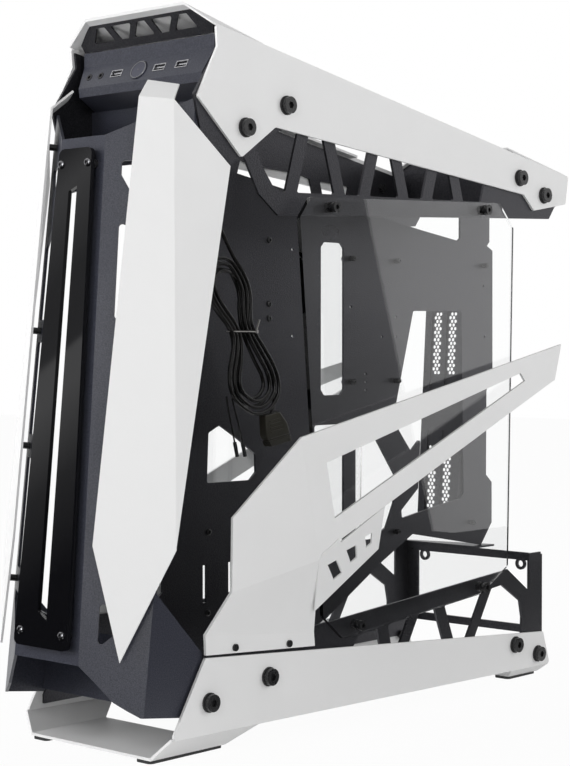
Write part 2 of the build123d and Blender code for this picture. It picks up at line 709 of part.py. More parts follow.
# Base frame: side plates joined by a shallow foot channel in front and one at the rear
with BuildPart() as base_frame:
    side_profile([base_top_front, base_top_rear, base_rear_low, base_crease_front],
                 half_width, beam_sheet)
    fillet(base_frame.edges().filter_by(Axis.X), beam_corner_r)
    for crease, floor_span in [((base_crease_front[0], front_foot_crease_end), front_foot_span),
                               (rear_foot_crease, rear_foot_span)]:
        first = (half_width, crease[0], base_low(crease[0]))
        last = (half_width, crease[1], base_low(crease[1]))
        corner = (foot_half_width, floor_span[0], foot_pad_height)
        across = face_plane([first, last, corner]).z_dir
        end_x = half_width - ((foot_pad_height - first[2]) * across.Z
                              + (floor_span[1] - first[1]) * across.Y) / across.X
        end = (end_x, floor_span[1], foot_pad_height)
        facet([first, corner, end, last], foot_sheet)
        with BuildSketch(Plane.XY.offset(foot_pad_height)) as foot_floor:
            with BuildLine():
                Polyline(corner[:2], end[:2], (0, end[1]), (0, corner[1]), close=True)
            make_face()
        extrude(foot_floor.sketch, amount=foot_sheet)
    side_rods(base_bolts_at, truss_face, beam_sheet, bolt_r + bolt_clearance, Mode.SUBTRACT)
    both_sides(base_frame)
finish(base_frame, "base_frame")

with BuildPart() as rubber_feet:
    with BuildSketch() as pads:
        for span in (front_foot_span, rear_foot_span):
            with Locations((foot_half_width - foot_pad_inset - foot_pad_width / 2, sum(span) / 2)):
                RectangleRounded(foot_pad_width, span[1] - span[0] - 2 * foot_pad_inset, 4.0)
    extrude(pads.sketch, amount=foot_pad_height)
    both_sides(rubber_feet)
finish(rubber_feet, "rubber_feet")

# Front column: front face, two flanks with windows and two side returns
flank_plane = face_plane([column_top, column_bottom, (flank_low[-1][0], *flank_outer_low)])
if flank_plane.z_dir.Y > 0:
    flank_plane = Plane(origin=column_top, x_dir=flank_plane.x_dir, z_dir=-flank_plane.z_dir)
flank_normal = flank_plane.z_dir


def flank_point(x, z, out=0.0):
    """Point over the right flank at x and z, out millimetres in front of it."""
    y = column_top[1] - (flank_normal.X * (x - column_top[0])
                         + flank_normal.Z * (z - column_top[2])) / flank_normal.Y
    return Vector(x, y + out / flank_normal.Y, z)


def flank_spot(x, z, out=0.0):
    """Plane square to the flank's point at x and z, moved out along the normal."""
    return Plane(origin=flank_point(x, z) + flank_normal * out, z_dir=flank_normal)


def fold_x(z):
    """Half width of the column's front face at height z."""
    return line_z((column_top[2], column_top[0]), (column_bottom[2], column_bottom[0]), z)


column_down = (Vector(0, *column_bottom[1:]) - Vector(0, *column_top[1:])).normalized()
column_length = (Vector(0, *column_bottom[1:]) - Vector(0, *column_top[1:])).length
column_plane = Plane(origin=(0, *column_top[1:]), x_dir=(1, 0, 0),
                     z_dir=column_down.cross(Vector(1, 0, 0)))


def front_slot(depth, wider=0.0):
    """Long slot with slanted ends, cut from the column's front plane inwards or outwards."""
    halves = [half + wider for half in front_slot_halves]
    with BuildSketch(column_plane) as slot:
        with BuildLine():
            Polyline((-halves[0], -front_slot_ends[0] - front_slot_skew[0]),
                     (halves[0], -front_slot_ends[0]),
                     (halves[1], -front_slot_ends[1]),
                     (-halves[1], -front_slot_ends[1] + front_slot_skew[1]), close=True)
        make_face()
    extrude(slot.sketch, amount=depth, mode=Mode.SUBTRACT)


with BuildPart() as front_column:
    flank = [(column_top[0], column_top[2])] + flank_low[:-1]
    flank += [(half_width, flank_low[-1][1]), (half_width, flank_outer_top_z)]
    facet([flank_point(x, z) for x, z in flank], column_sheet, flank_plane)
    for window in flank_windows:
        corners = [flank_point(x or fold_x(z) + flank_margin, z) for x, z in window]
        points = [flank_plane.to_local_coords(corner) for corner in corners]
        with BuildSketch(flank_plane) as flank_window:
            with BuildLine():
                Polyline(*[(point.X, point.Y) for point in points], close=True)
            make_face()
            fillet(flank_window.vertices(), flank_window_r)
        extrude(flank_window.sketch, amount=2 * column_sheet, both=True, mode=Mode.SUBTRACT)
    split(bisect_by=Plane.YZ.offset(column_face), keep=Keep.BOTTOM)
    side_profile([flank_outer_low, return_low, return_rear,
                  (flank_point(column_face, return_top_z).Y, return_top_z)],
                 column_face, column_sheet)
    both_sides(front_column)
    with BuildSketch(column_plane) as column_front:
        with BuildLine():
            Polyline((-column_top[0], 0), (column_top[0], 0), (column_bottom[0], -column_length),
                     (-column_bottom[0], -column_length), close=True)
        make_face()
    extrude(column_front.sketch, amount=-column_sheet)
    front_slot(-2 * column_sheet, column_slot_wider)
    with BuildSketch(column_plane) as front_holes:
        for x, v in zip(front_screw_x, front_screw_v):
            with Locations((x, -v), (-x, -v)):
                Circle(small_screw_r + bolt_clearance)
    extrude(front_holes.sketch, amount=-column_sheet, mode=Mode.SUBTRACT)
finish(front_column, "front_column")

# Cross plate at the foot of the column, between its side returns
cross_rise = Vector(0, cross_top[0] - cross_low[0], cross_top[1] - cross_low[1])
cross_plane = Plane(origin=(0, *cross_low), x_dir=(1, 0, 0),
                    z_dir=Vector(1, 0, 0).cross(cross_rise))
with BuildPart() as front_cross_plate:
    with BuildSketch(cross_plane) as cross_outline:
        Rectangle(2 * column_inside, cross_rise.length, align=(Align.CENTER, Align.MIN))
    extrude(cross_outline.sketch, amount=-panel_sheet)
finish(front_cross_plate, "front_cross_plate")

# Glossy front plate on four spacers
front_plate_face = front_plate_gap + front_plate_sheet
with BuildPart() as front_plate:
    with BuildSketch(column_plane.offset(front_plate_gap)) as plate_outline:
        with BuildLine():
            Polyline((-front_plate_halves[0], -front_plate_inset),
                     (front_plate_halves[0], -front_plate_inset),
                     (front_plate_halves[1], front_plate_inset - column_length),
                     (-front_plate_halves[1], front_plate_inset - column_length), close=True)
        make_face()
        fillet(plate_outline.vertices(), front_plate_corner)
    extrude(plate_outline.sketch, amount=front_plate_sheet)
    front_slot(2 * front_plate_face)
    with BuildSketch(column_plane.offset(front_plate_gap)) as plate_holes:
        for x, v in zip(front_screw_x, front_screw_v):
            with Locations((x, -v), (-x, -v)):
                Circle(small_screw_r + bolt_clearance)
    extrude(plate_holes.sketch, amount=front_plate_sheet, mode=Mode.SUBTRACT)
finish(front_plate, "front_plate")

front_screw_places = [(side * x, -v) for x, v in zip(front_screw_x, front_screw_v)
                      for side in (1, -1)]
with BuildPart() as front_plate_spacers:
    with BuildSketch(column_plane) as front_spacer_rings:
        with Locations(*front_screw_places):
            Circle(front_spacer_r)
            Circle(small_screw_r + bolt_clearance, mode=Mode.SUBTRACT)
    extrude(front_spacer_rings.sketch, amount=front_plate_gap)
finish(front_plate_spacers, "front_plate_spacers")

with BuildPart() as front_plate_screws:
    with BuildSketch(column_plane.offset(front_plate_face)) as front_heads:
        with Locations(*front_screw_places):
            Circle(front_head_r)
    extrude(front_heads.sketch, amount=front_head_height)
    fillet(front_plate_screws.faces().filter_by(column_plane).group_by(Axis.Y)[0].edges(), 0.6)
    with BuildSketch(column_plane.offset(front_plate_face)) as front_shanks:
        with Locations(*front_screw_places):
            Circle(small_screw_r)
    extrude(front_shanks.sketch, amount=-(front_plate_face + column_sheet + small_head_height))
    with BuildSketch(column_plane.offset(-column_sheet)) as front_nuts:
        with Locations(*front_screw_places):
            Circle(small_head_r)
    extrude(front_nuts.sketch, amount=-small_head_height)
finish(front_plate_screws, "front_plate_screws")

# Blades: a long tapering sheet over each flank, folded back into an ear and a top tab
with BuildPart() as blade_right:
    blade_face = blade_gap + blade_sheet
    blade_points = [flank_point(x, z, blade_face) for x, z in blade_corners]
    facet(blade_points, blade_sheet, Plane(origin=blade_points[0], z_dir=flank_normal))
    facet([blade_points[4], blade_points[3], blade_ear], blade_sheet)
    facet([blade_points[0], blade_points[4], blade_tab[0], blade_tab[1]], blade_sheet)
    for x, z in blade_standoffs_at:
        with BuildSketch(flank_spot(x, z, blade_gap)) as blade_hole:
            Circle(small_screw_r + bolt_clearance)
        extrude(blade_hole.sketch, amount=standoff_pin_depth, mode=Mode.SUBTRACT)
finish(blade_right, "blade_right")
blade_left = twin(blade_right, "blade_left")

with BuildPart() as blade_standoffs:
    for x, z in blade_standoffs_at:
        with BuildSketch(flank_spot(x, z)) as post:
            Circle(standoff_r)
        extrude(post.sketch, amount=blade_gap)
        with BuildSketch(flank_spot(x, z, blade_gap)) as pin:
            Circle(small_screw_r)
        extrude(pin.sketch, amount=standoff_pin_depth)
    both_sides(blade_standoffs)
finish(blade_standoffs, "blade_standoffs")

# Motherboard tray: one sheet between the two sides, cut away round the board
with BuildPart() as tray:
    toe = [(line_z(cross_low[::-1], cross_top[::-1], z) + panel_sheet / cross_plane.z_dir.Y * -1, z)
           for z in tray_toe_z]
    side_profile(tray_outline + toe + [tray_front_low], tray_half, tray_sheet)
    with BuildSketch(Plane.YZ.offset(-tray_half)) as tray_openings:
        for opening in tray_windows:
            with BuildLine():
                Polyline(*opening, close=True)
            make_face()
        fillet(tray_openings.vertices(), tray_window_r)
        for low, high, width in tray_slots:
            with Locations(((low[0] + high[0]) / 2, (low[1] + high[1]) / 2)):
                Rectangle(width, high[1] - low[1])
        with Locations(*tray_holes):
            Circle(tray_hole_r)
        with Locations(*board_points):
            Circle(small_screw_r)
        with Locations(*tray_screws_at):
            Circle(small_screw_r + bolt_clearance)
    extrude(tray_openings.sketch, amount=tray_sheet, mode=Mode.SUBTRACT)
finish(tray, "tray")

with BuildPart() as board_standoffs:
    side_rods(board_points, -tray_half - board_standoff_height, board_standoff_height,
              board_standoff_r)
    side_rods(board_points, -tray_half, tray_sheet + 0.8, small_screw_r)
    side_rods(board_points, -tray_half - board_standoff_height, board_standoff_height - 1.0,
              board_thread_r, Mode.SUBTRACT)
finish(board_standoffs, "board_standoffs")

with BuildPart() as tray_screws:
    side_rods(tray_screws_at, tray_half, small_head_height, small_head_r)
    side_rods(tray_screws_at, -tray_half - 3.0, tray_sheet + 3.0, small_screw_r)
finish(tray_screws, "tray_screws")

# Slot bracket: a leaning rear sheet with a flange on the tray, and four slot covers
bracket_rise = Vector(0, bracket_top[0] - bracket_low[0], bracket_top[1] - bracket_low[1])
bracket_plane = Plane(origin=(0, *bracket_low), x_dir=(-1, 0, 0),
                      z_dir=Vector(-1, 0, 0).cross(bracket_rise))
cover_spans = [[(z - bracket_low[1]) * bracket_rise.length / bracket_rise.Z for z in span]
               for span in (lower_cover_z, upper_cover_z)]
vent_spans = [[(z - bracket_low[1]) * bracket_rise.length / bracket_rise.Z for z in span]
              for span in (lower_vent_z, upper_vent_z)]
cover_x = [-slot_first_x + slot_pitch * n for n in range(2)]
with BuildPart() as slot_bracket:
    with BuildSketch(bracket_plane) as bracket_outline:
        with Locations((tray_half, 0)):
            Rectangle(bracket_reach - tray_half, bracket_rise.length, align=(Align.MIN, Align.MIN))
        for x in cover_x:
            for low, high in cover_spans:
                with Locations((x, (low + high) / 2)):
                    Rectangle(cover_width - 2 * cover_lap, high - low - 2 * cover_lap,
                              mode=Mode.SUBTRACT)
    extrude(bracket_outline.sketch, amount=-bracket_sheet)
    side_profile([bracket_top, bracket_low, (bracket_low[0] - bracket_flange, bracket_low[1]),
                  (bracket_top[0] - bracket_flange, bracket_top[1])], -tray_half, bracket_sheet)
finish(slot_bracket, "slot_bracket")

with BuildPart() as slot_covers:
    with BuildSketch(bracket_plane) as covers_outline:
        for x in cover_x:
            for low, high in cover_spans:
                with Locations((x, (low + high) / 2)):
                    RectangleRounded(cover_width, high - low, 1.0)
    extrude(covers_outline.sketch, amount=cover_sheet)
    with BuildSketch(bracket_plane) as vents:
        row_rise = vent_cell * sqrt(3) / 2
        for low, high in vent_spans:
            rows = int((high - low) / row_rise)
            for x in cover_x:
                places = [(x + vent_cell * (side + (n % 2) / 2 - 0.25), low + row_rise * (n + 0.5))
                          for n in range(rows) for side in (-0.5, 0.5)]
                with Locations(*places):
                    RegularPolygon((vent_cell - vent_web) / 2, 6, major_radius=False, rotation=30)
    extrude(vents.sketch, amount=cover_sheet, mode=Mode.SUBTRACT)
finish(slot_covers, "slot_covers")

# Supply frame across the rear posts, with the shelf that the tray's corner rests on
with BuildPart() as supply_frame:
    with BuildSketch(Plane.XZ.offset(-supply_frame_face)) as supply_outline:
        with Locations((0, supply_low_z)):
            Rectangle(2 * truss_face, supply_top_z - supply_low_z,
                      align=(Align.CENTER, Align.MIN))
        inner_width = 2 * (column_face - supply_post)
        inner_low = supply_low_z + supply_bar
        inner_high = supply_top_z - supply_bar
        with Locations((0, inner_low)):
            Rectangle(inner_width, inner_high - inner_low, align=(Align.CENTER, Align.MIN),
                      mode=Mode.SUBTRACT)
        ears = [(side * supply_ear_at[0], supply_ear_at[1]) for side in (1, -1)]
        with Locations(*ears):
            Circle(supply_ear_r)
        with Locations(*ears):
            Circle(supply_hole_r, mode=Mode.SUBTRACT)
        with Locations(*[(side * (column_face - thumb_screw_inset), thumb_screw_z) for side in (1, -1)]):
            Circle(small_screw_r + bolt_clearance, mode=Mode.SUBTRACT)
    extrude(supply_outline.sketch, amount=-supply_sheet)
finish(supply_frame, "supply_frame")

with BuildPart() as supply_thumb_screws:
    thumb_plane = Plane.XZ.offset(-supply_frame_face - supply_sheet)
    thumb_places = [(side * (column_face - thumb_screw_inset), thumb_screw_z) for side in (1, -1)]
    with BuildSketch(thumb_plane) as thumb_heads:
        with Locations(*thumb_places):
            Circle(thumb_screw_r)
    extrude(thumb_heads.sketch, amount=-thumb_screw_height)
    chamfer(supply_thumb_screws.faces().sort_by(Axis.Y)[-1].edges(), 0.8)
    with BuildSketch(thumb_plane) as thumb_shanks:
        with Locations(*thumb_places):
            Circle(small_screw_r)
    extrude(thumb_shanks.sketch, amount=supply_sheet)
finish(supply_thumb_screws, "supply_thumb_screws")

with BuildPart() as rear_shelf:
    with BuildSketch(Plane.XY.offset(supply_top_z)) as shelf_outline:
        with BuildLine():
            Polyline((-column_face, shelf_span[0]), (shelf_corner_x, shelf_span[0]),
                     (shelf_corner_x, shelf_span[1]), (-column_face, shelf_low_corner_y),
                     close=True)
        make_face()
    extrude(shelf_outline.sketch, amount=shelf_height)
finish(rear_shelf, "rear_shelf")

# Swords
corner, front_low, front_high, peak = off_side(sword_corner, sword_front_low, sword_front_high,
                                               sword_peak)
low_tip, high_tip = off_side(window_low, window_tip)
sword_arm_plane = Plane(origin=corner, z_dir=sword_arm_lean)
window_plane = face_plane([corner, low_tip, high_tip])
with BuildPart() as sword_right:
    hem = [(y, z + sword_hem) for y, z in sword_flange[2:]]
    side_profile(sword_flange[:2] + hem, half_width, sword_sheet)
    flange_front = (half_width, *sword_flange[3])
    flange_rear = (half_width, *sword_flange[2])
    facet([flange_front, flange_rear, corner, front_low], sword_sheet)
    facet([corner, peak, front_high, front_low], sword_sheet)
    facet([corner] + off_side(*sword_arm) + [peak], sword_sheet, sword_arm_plane)
    facet(off_side(*sword_cut), 3 * sword_sheet, sword_arm_plane, sword_sheet, Mode.SUBTRACT)
    edges = off_side(*window_edge)
    facet([corner, low_tip, edges[0], high_tip] + edges[1:], window_sheet,
          window_plane)
    for opening in window_openings:
        facet(off_side(*opening), 3 * window_sheet, window_plane, window_sheet, Mode.SUBTRACT)
    side_rods(sword_screws_at, truss_face, sword_sheet, small_screw_r + bolt_clearance, Mode.SUBTRACT)
finish(sword_right, "sword_right")
sword_left = twin(sword_right, "sword_left")

with BuildPart() as sword_screws:
    side_rods(sword_screws_at, half_width, small_head_height, small_head_r)
    side_rods(sword_screws_at, column_face - 2.0, sword_sheet + truss_sheet + 2.0, small_screw_r)
    both_sides(sword_screws)
finish(sword_screws, "sword_screws")

# Side glass, held off the trusses by round spacers
with BuildPart() as glass_right:
    side_profile(glass_outline, glass_face, glass_sheet)
    fillet(glass_right.edges().filter_by(Axis.X), glass_corner_r)
    side_rods(glass_bolts_at, glass_face - glass_sheet, glass_sheet, bolt_r + bolt_clearance,
              Mode.SUBTRACT)
finish(glass_right, "glass_right")
glass_left = twin(glass_right, "glass_left")

with BuildPart() as glass_spacers:
    side_rods(glass_bolts_at, truss_face, glass_gap, glass_spacer_r)
    side_rods(glass_bolts_at, truss_face, glass_gap, bolt_r + bolt_clearance, Mode.SUBTRACT)
    both_sides(glass_spacers)
finish(glass_spacers, "glass_spacers")


def side_bolts(places, seat_x, radius, height, socket):
    """Socket head bolts along X with their heads on seat_x and their ends inside the nuts."""
    side_rods(places, seat_x, height, radius)
    side_rods(places, column_face - nut_height, seat_x - column_face + nut_height, bolt_r)
    with BuildSketch(Plane.YZ.offset(seat_x + height)) as sockets:
        with Locations(*places):
            RegularPolygon(socket, 6)
    extrude(sockets.sketch, amount=-socket_depth, mode=Mode.SUBTRACT)


frame_bolts_at = beam_bolts_at + base_bolts_at
with BuildPart() as frame_bolts:
    side_bolts(frame_bolts_at, half_width + washer_height, head_r, head_height, socket_r)
    both_sides(frame_bolts)
finish(frame_bolts, "frame_bolts")

with BuildPart() as frame_washers:
    side_rods(frame_bolts_at, half_width, washer_height, washer_r)
    side_rods(frame_bolts_at, half_width, washer_height, bolt_r + bolt_clearance, Mode.SUBTRACT)
    both_sides(frame_washers)
finish(frame_washers, "frame_washers")

with BuildPart() as glass_bolts:
    side_bolts(glass_bolts_at, glass_face, glass_spacer_r, head_height, glass_socket_r)
    both_sides(glass_bolts)
finish(glass_bolts, "glass_bolts")

with BuildPart() as frame_nuts:
    with BuildSketch(Plane.YZ.offset(column_face)) as nuts:
        with Locations(*(frame_bolts_at + glass_bolts_at)):
            RegularPolygon(nut_r, 6)
            Circle(bolt_r + nut_clearance, mode=Mode.SUBTRACT)
    extrude(nuts.sketch, amount=-nut_height)
    both_sides(frame_nuts)
finish(frame_nuts, "frame_nuts")


def tube(route, diameter):
    """Round cord along straight runs joined by arcs as large as the runs allow."""
    points = [Vector(*point) for point in route]
    radii = []
    for before, corner, after in zip(points, points[1:], points[2:]):
        turn = (corner - before).get_angle(after - corner)
        shorter = min((corner - before).length, (after - corner).length)
        radii.append(0.45 * shorter / tan(radians(turn) / 2))
    with BuildLine() as path:
        FilletPolyline(*points, radius=radii)
    with BuildSketch(Plane(origin=path.line @ 0, z_dir=path.line % 0)) as section:
        Circle(diameter / 2)
    sweep(section.sketch, path=path.line)
    print("arc radii", [round(radius, 1) for radius in radii])


# Leads from the board behind the ports, tied up in a hank
with BuildPart() as lead_hank:
    with BuildSketch(Plane.YZ.offset(leads_x)) as hank_shape:
        with BuildLine():
            Spline(*hank_outline, periodic=True)
        make_face()
    extrude(hank_shape.sketch, amount=hank_thickness / 2, both=True)
    fillet(lead_hank.faces().filter_by(Plane.YZ).edges(), hank_round)
finish(lead_hank, "lead_hank")

with BuildPart() as lead_bundle:
    board_back = io_plane.from_local_coords((bundle_start_x, 0, -io_board_depth - io_board_sheet))
    first_turn = board_back - io_plane.z_dir * bundle_exit
    tube([board_back.to_tuple(), first_turn.to_tuple()] + bundle_route, bundle_d)
    add(lead_hank.part, mode=Mode.SUBTRACT)
finish(lead_bundle, "lead_bundle")

with BuildPart() as lead_tie:
    with BuildSketch(Plane.XY.offset(tie_z)) as tie_ring:
        with Locations((leads_x, sum(tie_span) / 2)):
            RectangleRounded(hank_thickness + 2 * tie_wall, tie_span[1] - tie_span[0], 5.0)
            RectangleRounded(hank_thickness, tie_span[1] - tie_span[0] - 2 * tie_wall, 4.0,
                             mode=Mode.SUBTRACT)
    extrude(tie_ring.sketch, amount=tie_height / 2, both=True)
    add(lead_hank.part, mode=Mode.SUBTRACT)
finish(lead_tie, "lead_tie")

with BuildPart() as lead_plug:
    with BuildSketch(Plane.YZ.offset(leads_x)) as plug_shape:
        with BuildLine():
            Polyline(*plug_outline, close=True)
        make_face()
    extrude(plug_shape.sketch, amount=plug_thickness / 2, both=True)
    fillet(lead_plug.edges().filter_by(Axis.X), 1.5)
    add(lead_hank.part, mode=Mode.SUBTRACT)
finish(lead_plug, "lead_plug")

tail_ends = []
with BuildPart() as lead_tails:
    for side, route in zip((-1, 1), tail_routes):
        x = leads_x + side * tail_spread / 2
        points = [(x, y, z) for y, z in route]
        tube(points, tail_d)
        tail_ends.append((Vector(*points[-1]), Vector(*points[-1]) - Vector(*points[-2])))
    add(lead_hank.part, mode=Mode.SUBTRACT)
finish(lead_tails, "lead_tails")

with BuildPart() as pin_plugs:
    for end, along in tail_ends:
        with BuildSketch(Plane(origin=end, x_dir=(1, 0, 0), z_dir=along)) as pin_section:
            RectangleRounded(pin_size[0], pin_size[1], 0.3)
        extrude(pin_section.sketch, amount=pin_size[2])
finish(pin_plugs, "pin_plugs")
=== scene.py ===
import json
import math

import bmesh
import bpy
from mathutils import Matrix, Vector


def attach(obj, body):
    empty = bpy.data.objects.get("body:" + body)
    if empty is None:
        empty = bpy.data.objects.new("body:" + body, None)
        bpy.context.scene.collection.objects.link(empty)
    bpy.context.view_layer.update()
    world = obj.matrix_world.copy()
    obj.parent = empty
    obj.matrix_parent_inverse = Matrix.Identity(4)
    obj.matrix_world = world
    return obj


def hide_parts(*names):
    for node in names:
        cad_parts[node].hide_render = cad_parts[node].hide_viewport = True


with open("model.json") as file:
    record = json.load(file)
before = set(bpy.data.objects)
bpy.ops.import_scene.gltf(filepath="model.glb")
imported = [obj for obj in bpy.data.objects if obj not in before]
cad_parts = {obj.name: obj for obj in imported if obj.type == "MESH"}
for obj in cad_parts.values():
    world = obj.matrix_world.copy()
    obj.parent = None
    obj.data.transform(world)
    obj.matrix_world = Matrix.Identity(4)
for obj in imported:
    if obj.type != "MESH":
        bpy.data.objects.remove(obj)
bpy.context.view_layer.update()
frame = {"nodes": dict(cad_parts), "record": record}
nodes = frame["nodes"]


# Camera at the photograph's angle: from the front right, a little above the middle
camera_place = Vector((1.1775, -1.3269, 0.3548))
camera_turn = math.radians(42.02)
camera_dip = math.radians(1.21)
camera_lens = 84.83
camera_sensor = 36.0

camera_data = bpy.data.cameras.new("camera")
camera_data.lens = camera_lens
camera_data.sensor_width = camera_sensor
camera_data.clip_end = 50.0
camera = bpy.data.objects.new("camera", camera_data)
bpy.context.collection.objects.link(camera)
look = Vector((-math.sin(camera_turn) * math.cos(camera_dip),
               math.cos(camera_turn) * math.cos(camera_dip), -math.sin(camera_dip)))
camera.location = camera_place
camera.rotation_euler = look.to_track_quat("-Z", "Y").to_euler()
bpy.context.scene.camera = camera


# Small tools for nodes
def joined(tree, operation, first, second):
    """Result of a math node whose two inputs are each another node's output or a plain number."""
    node = tree.nodes.new("ShaderNodeMath")
    node.operation = operation
    for socket, value in zip(node.inputs, (first, second)):
        if isinstance(value, bpy.types.NodeSocket):
            tree.links.new(value, socket)
        else:
            socket.default_value = value
    return node.outputs[0]


def show_mixed(tree, share, first, second, output="Material Output"):
    """Show the first shader where share is 0 and the second where it is 1."""
    mix = tree.nodes.new("ShaderNodeMixShader")
    tree.links.new(share, mix.inputs["Fac"])
    tree.links.new(first, mix.inputs[1])
    tree.links.new(second, mix.inputs[2])
    tree.links.new(mix.outputs["Shader"], tree.nodes[output].inputs["Surface"])


def seen_rays(tree):
    """1 for rays from the camera, through clear sheet and off shiny faces, and 0 for the others."""
    path = tree.nodes.new("ShaderNodeLightPath").outputs
    straight = joined(tree, "MAXIMUM", path["Is Camera Ray"], path["Is Transmission Ray"])
    return joined(tree, "MAXIMUM", straight, path["Is Glossy Ray"])


# Small tools for materials
class Finish:
    """A material whose pattern is read from the piece's own coordinates."""

    def __init__(self, name, colour, roughness, metallic=0.0):
        self.material = bpy.data.materials.new(name)
        self.material.use_nodes = True
        self.material.diffuse_color = (*colour, 1.0)
        self.tree = self.material.node_tree
        self.shader = self.tree.nodes["Principled BSDF"]
        self.shader.inputs["Base Color"].default_value = (*colour, 1.0)
        self.shader.inputs["Roughness"].default_value = roughness
        self.shader.inputs["Metallic"].default_value = metallic
        self.coordinates = self.tree.nodes.new("ShaderNodeTexCoord")

    def link(self, out, into):
        self.tree.links.new(out, into)

    def noise(self, size, detail=2.0, stretch=(1, 1, 1)):
        """Soft random pattern whose blotches are about size metres across."""
        mapping = self.tree.nodes.new("ShaderNodeMapping")
        mapping.inputs["Scale"].default_value = stretch
        noise = self.tree.nodes.new("ShaderNodeTexNoise")
        noise.inputs["Scale"].default_value = 1.0 / size
        noise.inputs["Detail"].default_value = detail
        self.link(self.coordinates.outputs["Object"], mapping.inputs["Vector"])
        self.link(mapping.outputs["Vector"], noise.inputs["Vector"])
        return noise.outputs["Fac"]

    def ranged(self, value, low, high, source=(0.3, 0.7)):
        """Spread the pattern's middle, from one source value to the other, over low to high."""
        spread = self.tree.nodes.new("ShaderNodeMapRange")
        spread.inputs["From Min"].default_value = source[0]
        spread.inputs["From Max"].default_value = source[1]
        spread.inputs["To Min"].default_value = low
        spread.inputs["To Max"].default_value = high
        self.link(value, spread.inputs["Value"])
        return spread.outputs["Result"]

    def tint(self, value, low, high):
        """Colour between low and high as the pattern goes from 0 to 1."""
        mix = self.tree.nodes.new("ShaderNodeMix")
        mix.data_type = "RGBA"
        mix.inputs[6].default_value = (*low, 1.0)
        mix.inputs[7].default_value = (*high, 1.0)
        self.link(value, mix.inputs["Factor"])
        self.link(mix.outputs[2], self.shader.inputs["Base Color"])

    def rough(self, value, low, high):
        self.link(self.ranged(value, low, high), self.shader.inputs["Roughness"])

    def bump(self, value, depth):
        """Raise the surface by up to depth metres where the pattern is high."""
        bump = self.tree.nodes.new("ShaderNodeBump")
        bump.inputs["Distance"].default_value = depth
        self.link(value, bump.inputs["Height"])
        self.link(bump.outputs["Normal"], self.shader.inputs["Normal"])


def powder_coat(name, colour, grain, depth, roughness, drift, speck=0.0):
    """Baked powder coat: fine orange peel with a slight drift of tone, or specks of lighter grain."""
    coat = Finish(name, colour, roughness)
    broad = coat.noise(0.09)
    fine = coat.noise(grain, 3.0)
    low = tuple(c * (1 - drift) for c in colour)
    high = tuple(min(1.0, c * (1 + drift) + speck) for c in colour)
    if speck:
        coat.tint(coat.ranged(fine, 0.0, 1.0, (0.35, 0.68)), low, high)
    else:
        coat.tint(coat.ranged(broad, 0.0, 1.0), low, high)
    coat.rough(broad, roughness - 0.05, roughness + 0.05)
    coat.bump(fine, depth)
    return coat


def clear_glass():
    """Clear tempered sheet that lets the light through to what is behind it."""
    glass = Finish("clear_glass", (0.985, 0.99, 0.99), 0.0)
    glass.shader.inputs["Transmission Weight"].default_value = 1.0
    glass.shader.inputs["IOR"].default_value = 1.48
    glass.bump(glass.noise(0.15, 1.0), 0.00002)
    through = glass.tree.nodes.new("ShaderNodeBsdfTransparent")
    through.inputs["Color"].default_value = (0.97, 0.975, 0.975, 1.0)
    path = glass.tree.nodes.new("ShaderNodeLightPath").outputs
    unseen = joined(glass.tree, "MAXIMUM", path["Is Shadow Ray"], path["Is Diffuse Ray"])
    show_mixed(glass.tree, unseen, glass.shader.outputs["BSDF"], through.outputs["BSDF"])
    return glass


# Materials
white_coat = powder_coat("white_powder_coat", (0.80, 0.80, 0.80), grain=0.0011, depth=0.00006,
                         roughness=0.42, drift=0.012)
black_coat = powder_coat("black_powder_coat", (0.005, 0.005, 0.007), grain=0.0013, depth=0.00028,
                         roughness=0.32, drift=0.2, speck=0.022)
black_coat.shader.inputs["Specular Tint"].default_value = (0.90, 0.89, 1.0, 1.0)
slate_coat = powder_coat("slate_powder_coat", (0.024, 0.026, 0.040), grain=0.0010, depth=0.00014,
                         roughness=0.38, drift=0.2, speck=0.020)

gloss_plate = Finish("polished_front_plate", (0.003, 0.003, 0.004), 0.04)
gloss_plate.rough(gloss_plate.noise(0.05), 0.03, 0.06)
gloss_plate.bump(gloss_plate.noise(0.05, 1.0), 0.00001)

rubber = Finish("black_rubber", (0.022, 0.022, 0.023), 0.72)
rubber.rough(rubber.noise(0.004), 0.62, 0.82)
rubber.bump(rubber.noise(0.0008, 3.0), 0.00008)

black_steel = Finish("blackened_steel", (0.014, 0.014, 0.015), 0.30)
black_steel.rough(black_steel.noise(0.003, 3.0), 0.22, 0.38)
black_steel.bump(black_steel.noise(0.0006), 0.00003)

bright_steel = Finish("bright_steel", (0.62, 0.62, 0.64), 0.16, metallic=1.0)
bright_steel.rough(bright_steel.noise(0.002, 3.0), 0.10, 0.24)

dark_chrome = Finish("dark_chrome", (0.20, 0.20, 0.21), 0.10, metallic=1.0)
dark_chrome.rough(dark_chrome.noise(0.002, 3.0), 0.06, 0.16)

port_metal = Finish("plated_port_shell", (0.55, 0.55, 0.57), 0.28, metallic=1.0)
port_metal.rough(port_metal.noise(0.002, 3.0, (1, 6, 1)), 0.2, 0.36)

port_plastic = Finish("black_port_plastic", (0.018, 0.018, 0.020), 0.45)
port_plastic.rough(port_plastic.noise(0.002), 0.38, 0.55)
port_plastic.bump(port_plastic.noise(0.0007), 0.00003)

button_metal = Finish("button_cap", (0.060, 0.062, 0.085), 0.34, metallic=0.3)
button_metal.rough(button_metal.noise(0.0015, 3.0), 0.28, 0.42)

board_green = Finish("circuit_board", (0.012, 0.05, 0.028), 0.5)
board_green.tint(board_green.ranged(board_green.noise(0.004, 1.0), 0.0, 1.0),
                 (0.01, 0.04, 0.022), (0.02, 0.075, 0.04))

